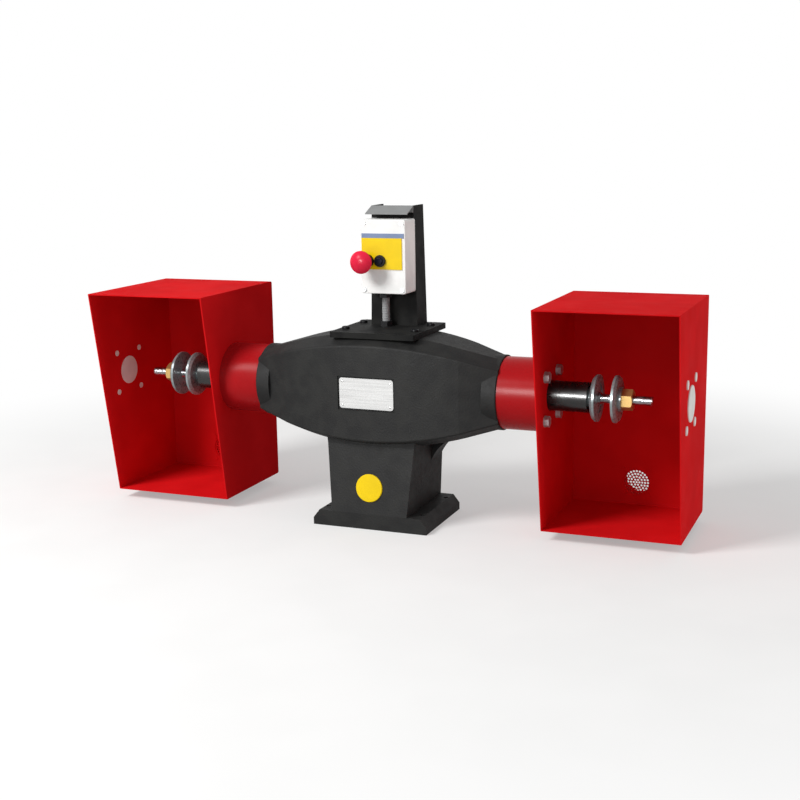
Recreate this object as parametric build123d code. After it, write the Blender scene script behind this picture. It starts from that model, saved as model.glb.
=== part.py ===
from build123d import *

import math
import os

os.makedirs("parts", exist_ok=True)

# X runs along the spindle, Y to the back, Z up. The origin lies on the bench under the middle of the spindle.

# Spindle line
axis_height = 246.0
running_clearance = 0.05

# Cutting shapes that run right past the castings and the hoods
cutter_reach = 300.0

# Motor housing, an eight-sided barrel, measured from the spindle line
barrel_half_length = 165.0
barrel_mid_half_height = 101.0
barrel_mid_half_depth = 90.0
barrel_mid_crease_height = 85.0
barrel_join_half_height = 78.0
barrel_join_half_depth = 72.0
barrel_join_crease_height = 64.5
roof_angle = 22.0
barrel_edge_radius = 4.0
long_edge_share = 0.95
stator_bore_radius = 62.0
pad_sink = 6.0

# End bells
bell_length = 64.0
bell_end_half_height = 60.0
bell_end_half_depth = 52.0
bell_end_crease_height = 46.5
bell_cavity_radius = 54.0
bell_cavity_depth = 21.0
neck_length = 26.0
neck_radius = 66.0
neck_edge_radius = 2.0
collar_register_length = 8.0
shaft_passage_radius = 18.0

# Collars between the bells and the hoods
collar_length = 77.0
collar_radius = 63.5
collar_wall = 4.0
collar_end_plate = 10.0

# Nose tubes that carry the outboard bearings
nose_radius = 26.0
nose_reach = 70.0
nose_bore_radius = 20.0
nose_flange_radius = 46.0
nose_flange_thickness = 8.0

# Inboard bearings, 30 x 62 x 16
inboard_bore_radius = 15.0
inboard_outer_radius = 31.0
inboard_width = 16.0
inboard_step = 6.0
inboard_ball_radius = 4.7

# Outboard bearings, 20 x 47 x 14
outboard_bore_radius = 10.0
outboard_outer_radius = 23.5
outboard_width = 14.0
outboard_inset = 3.0
outboard_ball_radius = 3.9
balls_per_bearing = 9

# Shaft
rotor_seat_radius = 17.0
rotor_shoulder_gap = 2.0
long_shaft_radius = 14.0
outboard_shoulder_gap = 5.0
inboard_seat_overrun = 2.0
thread_runout = 4.0
thread_radius = 8.0
tip_reach = 64.0
tip_chamfer = 1.5
arbor_spigot_radius = 7.0
arbor_spigot_length = 30.0

# Stator, rotor and fan
stator_half_length = 62.0
air_gap = 0.5
rotor_radius = 38.0
slot_count = 24
slot_radius = 2.6
slot_depth = 8.0
winding_outer_radius = 58.0
winding_inner_radius = 42.0
winding_length = 26.0
winding_edge_radius = 6.0
end_ring_radius = 35.0
end_ring_length = 9.0
fan_start = 108.0
fan_disc_thickness = 3.0
fan_radius = 53.0
fan_hub_radius = 26.0
fan_hub_length = 20.0
fan_blade_length = 22.0
fan_blade_thickness = 2.5
fan_blade_count = 9
fan_blade_tip_gap = 1.0

# Wheel flanges and nuts
flange_radius = 40.5
flange_thickness = 8.0
flange_recess_radius = 26.0
flange_recess_depth = 1.5
inner_flange_reach = 16.0
inner_hub_radius = 15.0
wheel_gap = 28.0
outer_hub_radius = 21.0
outer_hub_length = 5.0
nut_across_flats = 32.0
nut_length = 18.0
nut_chamfer = 2.0

# Hoods, bent and welded sheet
sheet = 2.0
hood_width = 240.0
hood_rise = 162.0
hood_drop = 228.0
hood_back = 157.0
hood_front_at_top = -117.0
hood_front_at_bottom = -53.0
hood_bend_radius = 4.0
spindle_hole_clearance = 1.0
bolt_square = 76.0
bolt_radius = 5.0
bolt_hole_clearance = 0.5
bolt_head_flats = 17.0
bolt_head_height = 7.0
washer_radius = 10.0
washer_thickness = 2.0

# Plastic plugs in the unused holes of the outer hood walls
plug_rim = 4.0
plug_rim_thickness = 2.0
plug_inset = 1.0
small_plug_rim = 2.5
plug_clearance = 0.1

# Suction outlets at the backs of the hoods
suction_rise = 43.0
suction_radius = 25.0
suction_flange_radius = 38.0
suction_flange_thickness = 3.0
spigot_wall = 2.0
spigot_length = 32.0
grille_thickness = 1.5
grille_hole_radius = 2.0
grille_pitch = 5.2
grille_edge = 0.4
rivet_circle_radius = 32.5
rivet_radius = 2.0
rivet_head_radius = 4.0
rivet_head_height = 1.6
rivet_count = 4

# Pedestal
foot_half_width = 109.0
foot_half_depth = 87.0
foot_height = 28.0
foot_bevel_reach = 12.0
foot_bevel_rise = 15.0
column_low_half_width = 73.0
column_low_height = 40.0
column_high_half_width = 83.5
column_high_height = 160.0
seat_drop = 60.0
shoulder_reach = 133.0
shoulder_height = 48.0
shoulder_lip_drop = 90.0
shoulder_front = 20.0
shoulder_bow_x = 0.34
shoulder_bow_z = 0.56
column_top_half_depth = 73.0
column_slope_drop = 96.0
pedestal_wall = 10.0
cavity_drop = 128.0
bench_hole_spacing_x = 184.0
bench_hole_spacing_y = 120.0
bench_hole_radius = 4.5
wire_hole_radius = 12.0
wire_hole_x = 40.0

# Cap on the pedestal front
cap_height = 75.0
cap_radius = 25.0
cap_thickness = 3.0
cap_edge_radius = 1.2
cap_stem_radius = 20.0

# Capacitor inside the pedestal
capacitor_radius = 22.0
capacitor_half_length = 48.0
capacitor_hang = 32.0
capacitor_edge_radius = 1.5
clamp_width = 14.0
clamp_thickness = 2.0
clamp_foot_reach = 14.0
clamp_x = 28.0

# Bare plate on the housing front
badge_half_width = 51.0
badge_half_height = 27.0
badge_thickness = 2.0
badge_frame = 3.0
badge_seat_sink = 4.5
badge_corner_radius = 5.0

# Plate on top of the housing
control_x = 6.0
plate_width = 160.0
plate_depth = 160.0
plate_y = 6.0
plate_thickness = 10.0
plate_edge_radius = 3.0
plate_screw_inset_x = 14.0
plate_screw_inset_y = 40.0
plate_screw_radius = 4.0
plate_screw_head_radius = 7.0
plate_screw_head_height = 5.0
plate_screw_depth = 14.0
plate_screw_socket_flats = 5.0
plate_screw_socket_depth = 3.0

# Bracket behind the control box
bracket_sheet = 3.0
bracket_half_width = 40.0
bracket_foot_half_width = 45.0
bracket_face = 33.0
bracket_depth = 48.0
bracket_overtop = 22.0
visor_reach = 30.0
visor_drop = 12.0
visor_sheet = 2.0
visor_tab = 12.0
bracket_foot_depth = 36.0
bracket_screw_radius = 3.0
bracket_screw_head_radius = 5.5
bracket_screw_head_height = 3.5
bracket_screw_x = 20.0
bracket_screw_y = 56.0

# Control box
box_half_width = 42.5
box_lift = 62.0
box_height = 130.0
box_depth = 47.0
box_wall = 3.0
box_corner_radius = 4.0
lid_depth = 9.0
lid_edge_radius = 1.5
lid_screw_inset_x = 6.5
lid_screw_inset_z = 6.5
lid_screw_radius = 2.0
lid_screw_head_radius = 3.6
lid_screw_head_height = 1.2
lid_screw_length = 18.0
lid_screw_slot_width = 1.0
lid_screw_slot_length = 4.6
lid_screw_slot_depth = 0.8
corner_post_radius = 5.5
box_screw_spacing = 89.0

# Coloured plates on the lid
yellow_half_width = 38.0
yellow_offset = -2.0
yellow_rise = 43.0
strip_inset = 24.0
yellow_thickness = 1.5
strip_half_width = 40.0
strip_height = 8.0
strip_thickness = 1.0

# Push buttons
button_rise = 15.0
button_hole_radius = 8.0
estop_offset = -28.5
estop_bezel_radius = 11.5
estop_bezel_length = 13.0
estop_stem_radius = 5.5
estop_stem_clearance = 0.3
estop_head_radius = 20.0
estop_head_length = 17.0
estop_head_back = 24.0
estop_head_flare = 5.0
estop_head_rim = 3.0
estop_neck_radius = 12.0
estop_travel = 5.0
start_offset = -5.0
start_bezel_radius = 10.5
start_bezel_length = 4.0
start_cap_radius = 6.5
start_cap_rise = 3.5
start_travel = 3.0
button_side_clearance = 0.4
button_edge_radius = 1.0
button_end_gap = 1.0
contact_block_half_width = 9.0
contact_block_height = 30.0
contact_block_depth = 16.0
locknut_radius = 10.5
locknut_thickness = 4.0

# Flexible conduit from the box to the plate
conduit_radius = 7.0
conduit_bore_radius = 5.0
conduit_offset = -9.0
conduit_standoff = 16.0
conduit_rib_count = 14
conduit_rib_depth = 0.8
# Share of the pitch and share of the depth at the four corners of each rib
conduit_rib_corners = ((0.2, 1.0), (0.5, 1.0), (0.7, 0.0), (1.0, 0.0))
gland_flats = 20.0
gland_height = 10.0

# Places along the spindle, each from the piece before it
bell_end = barrel_half_length + bell_length
bell_cavity_end = barrel_half_length + bell_cavity_depth
neck_start = bell_end - neck_length
inboard_start = bell_cavity_end + inboard_step
rotor_seat_half_length = inboard_start - rotor_shoulder_gap
hood_inner_wall = bell_end + collar_length
hood_outer_wall = hood_inner_wall + hood_width
hood_middle = hood_inner_wall + hood_width / 2
nose_end = hood_inner_wall + nose_reach
outboard_start = nose_end - outboard_inset - outboard_width
flange_seat_start = outboard_start - outboard_shoulder_gap
inner_flange_face = nose_end + inner_flange_reach
outer_flange_face = inner_flange_face + wheel_gap
thread_start = inner_flange_face + thread_runout
shaft_tip = outer_flange_face + tip_reach

# Heights above the bench
hood_top = axis_height + hood_rise
hood_bottom = axis_height - hood_drop
suction_height = hood_bottom + suction_rise
seat_top = axis_height - seat_drop
shoulder_lip_height = axis_height - shoulder_lip_drop
shoulder_start_height = shoulder_lip_height - shoulder_height
column_slope_top = axis_height - column_slope_drop
cavity_top = axis_height - cavity_drop
capacitor_height = cavity_top - capacitor_hang
pad_height = barrel_mid_half_height - pad_sink
plate_bottom = axis_height + pad_height
plate_top = plate_bottom + plate_thickness
box_bottom = plate_top + box_lift
box_top = box_bottom + box_height
bracket_top = box_top + bracket_overtop
yellow_bottom = box_bottom + yellow_rise
yellow_height = box_height - yellow_rise - strip_height - strip_inset
button_height = yellow_bottom + button_rise

# Places across and from front to back
badge_seat_depth = barrel_mid_half_depth - badge_seat_sink
box_front = bracket_face - box_depth
lid_back = box_front + lid_depth
bracket_back = bracket_face + bracket_sheet
yellow_front = box_front - yellow_thickness
yellow_x = control_x + yellow_offset
estop_x = control_x + estop_offset
start_x = control_x + start_offset
conduit_x = control_x + conduit_offset
conduit_y = bracket_face - conduit_standoff

# Fits
spindle_hole_radius = nose_radius + spindle_hole_clearance
bolt_hole_radius = bolt_radius + bolt_hole_clearance


def block(x0, x1, y0, y1, z0, z1):
    """A box between two corners."""
    middle = Pos((x0 + x1) / 2, (y0 + y1) / 2, (z0 + z1) / 2)
    return middle * Box(x1 - x0, y1 - y0, z1 - z0)


def along_x(radius, x0, x1, y=0.0, z=axis_height):
    """A round bar along X, on the spindle line unless placed elsewhere."""
    return Pos((x0 + x1) / 2, y, z) * Rot(0, 90, 0) * Cylinder(radius, x1 - x0)


def along_y(radius, y0, y1, x, z):
    """A round bar along Y."""
    return Pos(x, (y0 + y1) / 2, z) * Rot(90, 0, 0) * Cylinder(radius, y1 - y0)


def along_z(radius, z0, z1, x, y):
    """A round bar along Z."""
    return Pos(x, y, (z0 + z1) / 2) * Cylinder(radius, z1 - z0)


def hexagon_along_x(flats, x0, x1, y=0.0, z=axis_height):
    """A hexagonal bar along X."""
    outline = RegularPolygon(flats / 2, 6, major_radius=False)
    return Pos(x0, y, z) * Rot(0, 90, 0) * extrude(outline, amount=x1 - x0)


def mirrored(shape):
    """The same piece on the other side of the machine."""
    return mirror(shape, about=Plane.YZ)


def pair(shape):
    """One node holding a piece and its mirror image."""
    return Compound(children=[Part(shape.wrapped), Part(mirrored(shape).wrapped)])


def group(shapes):
    """One node holding several like pieces."""
    return Compound(children=[Part(shape.wrapped) for shape in shapes])


def save(name, shape):
    export_step(shape, f"parts/{name}.step")


def save_sides(name, right_shape):
    """Writes a piece for the right side and its mirror image for the left side."""
    save(f"right_{name}", right_shape)
    save(f"left_{name}", mirrored(right_shape))


def roof_distance(half_depth, crease_height):
    """Distance from the spindle line to the sloping roof faces that start at the crease."""
    angle = math.radians(roof_angle)
    return half_depth * math.sin(angle) + crease_height * math.cos(angle)


def arched_slab(mid, join, turn):
    """A slab with bowed faces, thickest in the middle of the machine, turned about the spindle line."""
    reach = barrel_half_length
    upper = ThreePointArc((-reach, join), (0, mid), (reach, join))
    lower = ThreePointArc((-reach, -join), (0, -mid), (reach, -join))
    ends = [Line((-reach, join), (-reach, -join)), Line((reach, join), (reach, -join))]
    face = make_face(Curve() + [upper, lower] + ends)
    return Pos(0, 0, axis_height) * Rot(turn, 0, 0) * extrude(Plane.XZ * face, amount=cutter_reach, both=True)


def tapered_slab(start, end, turn):
    """A wedge between the barrel end and the bell end, turned about the spindle line."""
    corners = [
        (barrel_half_length, start),
        (bell_end, end),
        (bell_end, -end),
        (barrel_half_length, -start),
    ]
    face = Polygon(*corners, align=None)
    return Pos(0, 0, axis_height) * Rot(turn, 0, 0) * extrude(Plane.XZ * face, amount=cutter_reach, both=True)


def round_long_edges(shape):
    """Rounds the creases that run along the machine."""
    shortest = long_edge_share * shape.bounding_box().size.X
    creases = [edge for edge in shape.edges() if edge.bounding_box().size.X > shortest]
    return fillet(creases, barrel_edge_radius)


def barrel_outside():
    mid_roof = roof_distance(barrel_mid_half_depth, barrel_mid_crease_height)
    join_roof = roof_distance(barrel_join_half_depth, barrel_join_crease_height)
    solid = arched_slab(barrel_mid_half_height, barrel_join_half_height, 0)
    solid &= arched_slab(barrel_mid_half_depth, barrel_join_half_depth, 90)
    solid &= arched_slab(mid_roof, join_roof, roof_angle)
    solid &= arched_slab(mid_roof, join_roof, -roof_angle)
    solid &= block(-cutter_reach, cutter_reach, -cutter_reach, cutter_reach, 0, plate_bottom)
    return round_long_edges(solid)


def bell_outside():
    join_roof = roof_distance(barrel_join_half_depth, barrel_join_crease_height)
    end_roof = roof_distance(bell_end_half_depth, bell_end_crease_height)
    solid = tapered_slab(barrel_join_half_height, bell_end_half_height, 0)
    solid &= tapered_slab(barrel_join_half_depth, bell_end_half_depth, 90)
    solid &= tapered_slab(join_roof, end_roof, roof_angle)
    solid &= tapered_slab(join_roof, end_roof, -roof_angle)
    return round_long_edges(solid)


def plate_screw_places():
    reach_x = plate_width / 2 - plate_screw_inset_x
    reach_y = plate_depth / 2 - plate_screw_inset_y
    return [(control_x + sx * reach_x, plate_y + sy * reach_y) for sx in (-1, 1) for sy in (-1, 1)]


def motor_housing(outside):
    solid = outside - along_x(stator_bore_radius, -barrel_half_length, barrel_half_length)
    seat_x = badge_half_width + badge_frame
    seat_z = badge_half_height + badge_frame
    seat_low = axis_height - seat_z
    seat_high = axis_height + seat_z
    solid -= block(-seat_x, seat_x, -cutter_reach, -badge_seat_depth, seat_low, seat_high)
    for x, y in plate_screw_places():
        solid -= along_z(plate_screw_radius, plate_bottom - plate_screw_depth, plate_bottom, x, y)
    solid -= along_z(wire_hole_radius, cavity_top, axis_height, wire_hole_x, 0)
    return solid


def end_bell():
    neck = along_x(neck_radius, neck_start, bell_end)
    neck = fillet(neck.edges().group_by(Axis.X)[-1], neck_edge_radius)
    register_radius = collar_radius - collar_wall
    solid = bell_outside() + neck
    solid += along_x(register_radius, bell_end, bell_end + collar_register_length)
    solid -= along_x(bell_cavity_radius, barrel_half_length, bell_cavity_end)
    solid -= along_x(inboard_outer_radius, bell_cavity_end, inboard_start + inboard_width)
    solid -= along_x(shaft_passage_radius, bell_cavity_end, bell_end + collar_register_length)
    return solid


def collar():
    end = hood_inner_wall
    solid = along_x(collar_radius, bell_end, end)
    solid -= along_x(collar_radius - collar_wall, bell_end, end - collar_end_plate)
    solid -= along_x(nose_radius, end - collar_end_plate, end)
    for y, z in bolt_places():
        solid -= along_x(bolt_radius, end - collar_end_plate, end, y, z)
    return solid


def bolt_places():
    """The square of holes around the spindle line."""
    half = bolt_square / 2
    return [(sy * half, axis_height + sz * half) for sy in (-1, 1) for sz in (-1, 1)]


def nose_tube():
    flange_end = hood_inner_wall - collar_end_plate
    flange_start = flange_end - nose_flange_thickness
    solid = along_x(nose_radius, flange_start, nose_end)
    solid += along_x(nose_flange_radius, flange_start, flange_end)
    solid -= along_x(nose_bore_radius, flange_start, nose_end)
    solid -= along_x(outboard_outer_radius, outboard_start, nose_end)
    return solid


def bearing(start, width, bore, outer, ball):
    """Inner ring, outer ring and balls of one bearing, the balls running freely in the outer ring."""
    pitch = (bore + outer) / 2
    middle = start + width / 2
    inner_ring = along_x(pitch - ball, start, start + width) - along_x(bore, start, start + width)
    race = pitch + ball + running_clearance
    outer_ring = along_x(outer, start, start + width) - along_x(race, start, start + width)
    balls = []
    for number in range(balls_per_bearing):
        angle = 2 * math.pi * number / balls_per_bearing
        place = Pos(middle, pitch * math.cos(angle), axis_height + pitch * math.sin(angle))
        balls.append(place * Sphere(ball))
    return inner_ring, outer_ring, balls


def spindle_shaft():
    bar = along_x(rotor_seat_radius, -rotor_seat_half_length, rotor_seat_half_length)
    inboard_seat_end = inboard_start + inboard_width + inboard_seat_overrun
    end = along_x(inboard_bore_radius, rotor_seat_half_length, inboard_seat_end)
    end += along_x(long_shaft_radius, inboard_seat_end, flange_seat_start)
    bore = along_x(arbor_spigot_radius, flange_seat_start - arbor_spigot_length, flange_seat_start)
    end -= bore
    return bar + end + mirrored(end)


def spindle_ends():
    """The arbor ends, each pressed into the shaft by a spigot and threaded for its wheel nut."""
    end = along_x(arbor_spigot_radius, flange_seat_start - arbor_spigot_length, flange_seat_start)
    end += along_x(outboard_bore_radius, flange_seat_start, thread_start)
    thread = along_x(thread_radius, thread_start, shaft_tip)
    end += chamfer(thread.edges().group_by(Axis.X)[-1], tip_chamfer)
    return group([end, mirrored(end)])


def stator_core():
    solid = along_x(stator_bore_radius, -stator_half_length, stator_half_length)
    solid -= along_x(rotor_radius + air_gap, -stator_half_length, stator_half_length)
    slot_pitch_radius = rotor_radius + slot_depth
    for number in range(slot_count):
        angle = 2 * math.pi * number / slot_count
        y = slot_pitch_radius * math.cos(angle)
        z = axis_height + slot_pitch_radius * math.sin(angle)
        solid -= along_x(slot_radius, -stator_half_length, stator_half_length, y, z)
    return solid


def winding_end():
    start = stator_half_length
    end = start + winding_length
    ring = along_x(winding_outer_radius, start, end) - along_x(winding_inner_radius, start, end)
    return fillet(ring.edges().group_by(Axis.X)[-1], winding_edge_radius)


def rotor_core():
    solid = along_x(rotor_radius, -stator_half_length, stator_half_length)
    reach = stator_half_length + end_ring_length
    solid += along_x(end_ring_radius, -reach, reach)
    return solid - along_x(rotor_seat_radius, -reach, reach)


def cooling_fan():
    hub_end = fan_start + fan_hub_length
    disc_end = fan_start + fan_disc_thickness
    solid = along_x(fan_radius, fan_start, disc_end) + along_x(fan_hub_radius, fan_start, hub_end)
    blade_root = fan_radius - fan_blade_length
    for number in range(fan_blade_count):
        half = fan_blade_thickness / 2
        blade = block(disc_end, hub_end, -half, half, blade_root, fan_radius - fan_blade_tip_gap)
        solid += Pos(0, 0, axis_height) * Rot(360 * number / fan_blade_count, 0, 0) * blade
    return solid - along_x(rotor_seat_radius, fan_start, hub_end)


def inner_flange():
    start = outboard_start + outboard_width
    face = inner_flange_face
    disc = along_x(flange_radius, face - flange_thickness, face)
    disc = chamfer(disc.edges().group_by(Axis.X)[0], flange_thickness / 2)
    solid = disc + along_x(inner_hub_radius, start, face)
    solid -= along_x(flange_recess_radius, face - flange_recess_depth, face)
    return solid - along_x(outboard_bore_radius, start, face)


def outer_flange():
    face = outer_flange_face
    end = face + flange_thickness
    disc = along_x(flange_radius, face, end)
    disc = chamfer(disc.edges().group_by(Axis.X)[-1], flange_thickness / 2)
    solid = disc + along_x(outer_hub_radius, face, end + outer_hub_length)
    solid -= along_x(flange_recess_radius, face, face + flange_recess_depth)
    return solid - along_x(thread_radius + running_clearance, face, end + outer_hub_length)


def wheel_nut():
    start = outer_flange_face + flange_thickness + outer_hub_length
    end = start + nut_length
    solid = hexagon_along_x(nut_across_flats, start, end)
    cone_radius = nut_across_flats / 2 / math.cos(math.radians(30))
    turned = along_x(cone_radius, start, end)
    turned = chamfer(turned.edges().group_by(Axis.X)[-1], nut_chamfer)
    solid &= turned
    return solid - along_x(thread_radius + running_clearance, start, end)


def bent_at_back(corners, radius):
    """A side view with bent corners at the back and square ones at the front."""
    outline = Polygon(*corners, align=None)
    back_corners = [corner for corner in outline.vertices() if corner.X > 0]
    return fillet(back_corners, radius)


def hood_outline():
    corners = [
        (hood_back, hood_top),
        (hood_back, hood_bottom),
        (hood_front_at_bottom, hood_bottom),
        (hood_front_at_top, hood_top),
    ]
    return bent_at_back(corners, hood_bend_radius)


def hood_hollow():
    """Side view of the space inside the bent sheet, open to the front."""
    back = hood_back - sheet
    bottom = hood_bottom + sheet
    top = hood_top - sheet
    corners = [(back, top), (back, bottom), (-cutter_reach, bottom), (-cutter_reach, top)]
    return bent_at_back(corners, hood_bend_radius - sheet)


def hood_slice(outline, x0, x1):
    """The hood outline drawn out between two places along the spindle."""
    return Pos(x0, 0, 0) * extrude(Plane.YZ * outline, amount=x1 - x0, dir=(1, 0, 0))


def hood_wrap():
    x0 = hood_inner_wall + sheet
    x1 = hood_outer_wall - sheet
    solid = hood_slice(hood_outline(), x0, x1) - hood_slice(hood_hollow(), x0, x1)
    solid -= along_y(suction_radius, hood_back - sheet, hood_back, hood_middle, suction_height)
    for x, z in rivet_places():
        solid -= along_y(rivet_radius, hood_back - sheet, hood_back, x, z)
    return solid


def hood_cheek(wall):
    """One side wall of the hood."""
    solid = hood_slice(hood_outline(), wall, wall + sheet)
    solid -= along_x(spindle_hole_radius, wall, wall + sheet)
    for y, z in bolt_places():
        solid -= along_x(bolt_hole_radius, wall, wall + sheet, y, z)
    return solid


def hood_inner_cheek():
    return hood_cheek(hood_inner_wall)


def hood_outer_cheek():
    return hood_cheek(hood_outer_wall - sheet)


def hood_bolts():
    face = hood_inner_wall + sheet
    head_start = face + washer_thickness
    bolts = []
    for y, z in bolt_places():
        bolt = along_x(washer_radius, face, head_start, y, z)
        bolt += hexagon_along_x(bolt_head_flats, head_start, head_start + bolt_head_height, y, z)
        bolt += along_x(bolt_radius, hood_inner_wall - collar_end_plate, face, y, z)
        bolts.append(bolt)
    return group(bolts + [mirrored(bolt) for bolt in bolts])


def plug(hole_radius, rim, y, z):
    """A push-in plug: a rim outside the wall and a body through the hole."""
    rim_end = hood_outer_wall + plug_rim_thickness
    disc = along_x(hole_radius + rim, hood_outer_wall, rim_end, y, z)
    disc = fillet(disc.edges().group_by(Axis.X)[-1], plug_rim_thickness / 3)
    body_start = hood_outer_wall - sheet - plug_inset
    return disc + along_x(hole_radius - plug_clearance, body_start, hood_outer_wall, y, z)


def spindle_hole_plug():
    return plug(spindle_hole_radius, plug_rim, 0, axis_height)


def bolt_hole_plugs():
    plugs = [plug(bolt_hole_radius, small_plug_rim, y, z) for y, z in bolt_places()]
    return group(plugs + [mirrored(each) for each in plugs])


def rivet_places():
    places = []
    for number in range(rivet_count):
        angle = math.pi / 4 + 2 * math.pi * number / rivet_count
        x = hood_middle + rivet_circle_radius * math.cos(angle)
        z = suction_height + rivet_circle_radius * math.sin(angle)
        places.append((x, z))
    return places


def suction_grille():
    """A round screen, its holes in rings of six, twelve and so on."""
    start = hood_back
    end = start + grille_thickness
    solid = along_y(suction_flange_radius, start, end, hood_middle, suction_height)
    solid -= along_y(grille_hole_radius, start, end, hood_middle, suction_height)
    rings = math.floor((suction_radius - grille_edge - grille_hole_radius) / grille_pitch)
    for ring in range(1, rings + 1):
        for turn in range(6 * ring):
            angle = math.pi * turn / (3 * ring)
            x = hood_middle + ring * grille_pitch * math.cos(angle)
            z = suction_height + ring * grille_pitch * math.sin(angle)
            solid -= along_y(grille_hole_radius, start, end, x, z)
    for x, z in rivet_places():
        solid -= along_y(rivet_radius, start, end, x, z)
    return solid


def suction_spigot():
    start = hood_back + grille_thickness
    flange_end = start + suction_flange_thickness
    end = start + spigot_length
    solid = along_y(suction_flange_radius, start, flange_end, hood_middle, suction_height)
    solid += along_y(suction_radius + spigot_wall, start, end, hood_middle, suction_height)
    solid -= along_y(suction_radius, start, end, hood_middle, suction_height)
    for x, z in rivet_places():
        solid -= along_y(rivet_radius, start, flange_end, x, z)
    return solid


def suction_rivets():
    inside = hood_back - sheet
    outside = hood_back + grille_thickness + suction_flange_thickness
    rivets = []
    for x, z in rivet_places():
        rivet = along_y(rivet_radius, inside, outside, x, z)
        rivet += along_y(rivet_head_radius, inside - rivet_head_height, inside, x, z)
        rivet += along_y(rivet_head_radius, outside, outside + rivet_head_height, x, z)
        rivets.append(rivet)
    return group(rivets + [mirrored(rivet) for rivet in rivets])


def column_half_width(height):
    """Half the width of the pedestal's column, which widens evenly upwards."""
    share = (height - column_low_height) / (column_high_height - column_low_height)
    return column_low_half_width + share * (column_high_half_width - column_low_half_width)


def column_half():
    """The right half of the foot and the column, over the whole depth of the foot."""
    top_half_width = column_half_width(seat_top)
    corners = [
        (0, 0),
        (foot_half_width, 0),
        (foot_half_width, foot_height - foot_bevel_rise),
        (foot_half_width - foot_bevel_reach, foot_height),
        (column_half_width(foot_height), foot_height),
        (top_half_width, seat_top),
        (0, seat_top),
    ]
    return extrude(Plane.XZ * Polygon(*corners, align=None), amount=foot_half_depth, both=True)


def shoulder():
    """The curved shoulder that carries the motor at the back of the column's right side."""
    start = (column_half_width(shoulder_start_height), shoulder_start_height)
    lip = (shoulder_reach, shoulder_lip_height)
    bow_x = start[0] + (lip[0] - start[0]) * shoulder_bow_x
    bow_z = start[1] + (lip[1] - start[1]) * shoulder_bow_z
    rest = Polyline(lip, (shoulder_reach, seat_top), (0, seat_top), (0, shoulder_start_height), start)
    face = make_face(Curve() + [ThreePointArc(start, (bow_x, bow_z), lip), rest])
    depth = column_top_half_depth - shoulder_front
    return Pos(0, shoulder_front, 0) * extrude(Plane.XZ * face, amount=depth, dir=(0, 1, 0))


def pedestal(outside):
    half = column_half() + shoulder()
    solid = half + mirrored(half)
    side_corners = [
        (-foot_half_depth, 0),
        (foot_half_depth, 0),
        (foot_half_depth, foot_height),
        (column_top_half_depth, column_slope_top),
        (column_top_half_depth, seat_top),
        (-column_top_half_depth, seat_top),
        (-column_top_half_depth, column_slope_top),
        (-foot_half_depth, foot_height),
    ]
    side = Polygon(*side_corners, align=None)
    solid &= extrude(Plane.YZ * side, amount=shoulder_reach, both=True)
    solid -= outside
    inner_x = column_low_half_width - pedestal_wall
    inner_y = column_top_half_depth - pedestal_wall
    solid -= block(-inner_x, inner_x, -inner_y, inner_y, 0, cavity_top)
    solid -= along_z(wire_hole_radius, cavity_top, seat_top, wire_hole_x, 0)
    for x in (-bench_hole_spacing_x / 2, bench_hole_spacing_x / 2):
        for y in (-bench_hole_spacing_y / 2, bench_hole_spacing_y / 2):
            solid -= along_z(bench_hole_radius, 0, foot_height, x, y)
    stem = Cylinder(cap_stem_radius, 4 * pedestal_wall)
    return solid - cap_place() * stem


def cap_place():
    """A frame on the sloping front of the pedestal, its Z axis pointing out of the face."""
    run = foot_half_depth - column_top_half_depth
    rise = column_slope_top - foot_height
    slope = math.degrees(math.atan2(run, rise))
    y = -(foot_half_depth - run * (cap_height - foot_height) / rise)
    return Pos(0, y, cap_height) * Rot(90 - slope, 0, 0)


def pedestal_cap():
    disc = Cylinder(cap_radius, cap_thickness, align=(Align.CENTER, Align.CENTER, Align.MIN))
    disc = fillet(disc.edges().group_by(Axis.Z)[-1], cap_edge_radius)
    stem = Cylinder(cap_stem_radius, pedestal_wall, align=(Align.CENTER, Align.CENTER, Align.MAX))
    return cap_place() * (disc + stem)


def run_capacitor():
    can = along_x(capacitor_radius, -capacitor_half_length, capacitor_half_length, 0, capacitor_height)
    return fillet(can.edges(), capacitor_edge_radius)


def capacitor_clamps():
    clamps = []
    for x in (-clamp_x, clamp_x):
        x0 = x - clamp_width / 2
        x1 = x + clamp_width / 2
        outer = capacitor_radius + clamp_thickness
        strap = along_x(outer, x0, x1, 0, capacitor_height)
        strap += block(x0, x1, -outer, outer, capacitor_height, cavity_top)
        reach = outer + clamp_foot_reach
        strap += block(x0, x1, -reach, reach, cavity_top - clamp_thickness, cavity_top)
        strap -= along_x(capacitor_radius, x0, x1, 0, capacitor_height)
        strap -= block(x0, x1, -capacitor_radius, capacitor_radius, capacitor_height, cavity_top)
        clamps.append(strap)
    return group(clamps)


def badge_plate():
    face = RectangleRounded(2 * badge_half_width, 2 * badge_half_height, badge_corner_radius)
    plate = extrude(Plane.XZ * face, amount=badge_thickness)
    return Pos(0, -badge_seat_depth, axis_height) * plate


def top_plate():
    face = RectangleRounded(plate_width, plate_depth, plate_edge_radius)
    solid = Pos(control_x, plate_y, plate_bottom) * extrude(face, amount=plate_thickness)
    for x, y in plate_screw_places():
        solid -= along_z(plate_screw_radius, plate_bottom, plate_top, x, y)
    for x, y in bracket_screw_places():
        solid -= along_z(bracket_screw_radius, plate_bottom, plate_top, x, y)
    return solid - along_z(conduit_bore_radius, plate_bottom, plate_top, conduit_x, conduit_y)


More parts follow.
